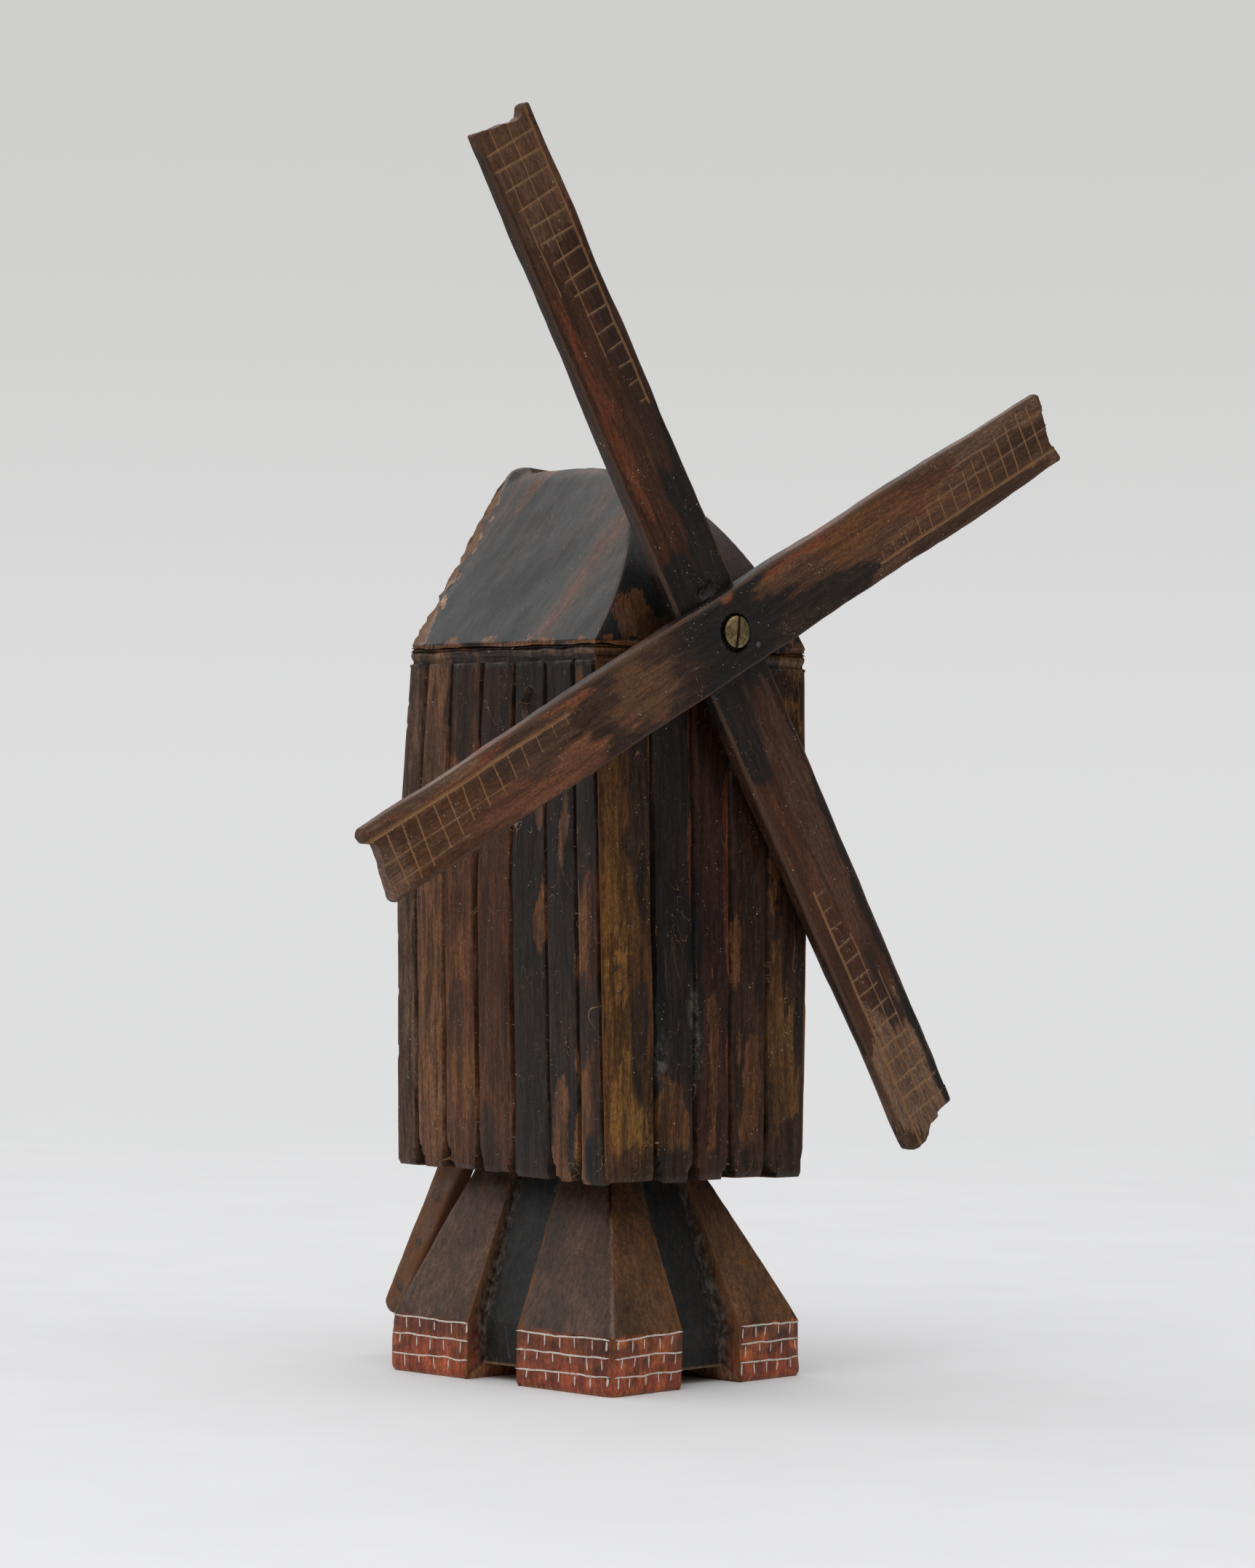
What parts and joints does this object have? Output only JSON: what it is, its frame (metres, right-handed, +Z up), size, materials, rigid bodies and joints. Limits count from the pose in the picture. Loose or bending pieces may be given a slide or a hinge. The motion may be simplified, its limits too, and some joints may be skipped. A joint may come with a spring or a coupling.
{
  "type": "carved wooden model post mill",
  "caption": "Small carved wooden model of a post mill: a planked body with a rounded roof turns on a four-legged base, with crossed sails and a rear ladder.",
  "frame": {"origin": "centre of the underside of the base, on the surface it stands on", "axes": "+Z up to the ridge, -Y towards the front where the sails are, +X to the right as seen from the front"},
  "size_m": [0.2002, 0.0977, 0.2715],
  "materials": {
    "base_wood": "stained and painted, satin",
    "body_wood": "dark stained and varnished",
    "sail_wood": "dark stained and varnished",
    "ladder_wood": "stained, satin",
    "dowel_wood": "bare wood",
    "screw_brass": "dull brass",
    "pin_iron": "dark iron"
  },
  "bodies": {
    "base": {"base_block": "base_wood", "pivot_dowel": "dowel_wood"},
    "mill": {"mill_body": "body_wood", "hub_collar": "dowel_wood", "hub_screw": "screw_brass", "ladder_rail_left": "ladder_wood", "ladder_rail_right": "ladder_wood", "ladder_rung_1": "ladder_wood", "ladder_rung_2": "ladder_wood", "ladder_rung_3": "ladder_wood"},
    "sails": {"sail_bar_front": "sail_wood", "sail_bar_back": "sail_wood", "lock_pin": "pin_iron"}
  },
  "joints": [
    {"name": "body_turn", "type": "hinge", "parent": "base", "child": "mill", "pos_m": [0, 0, 0.045], "axis": [0, 0, 1], "continuous": true},
    {"name": "sails_spin", "type": "hinge", "parent": "mill", "child": "sails", "pos_m": [0, -0.0432, 0.1635], "axis": [0, 1, 0], "continuous": true}
  ]
}
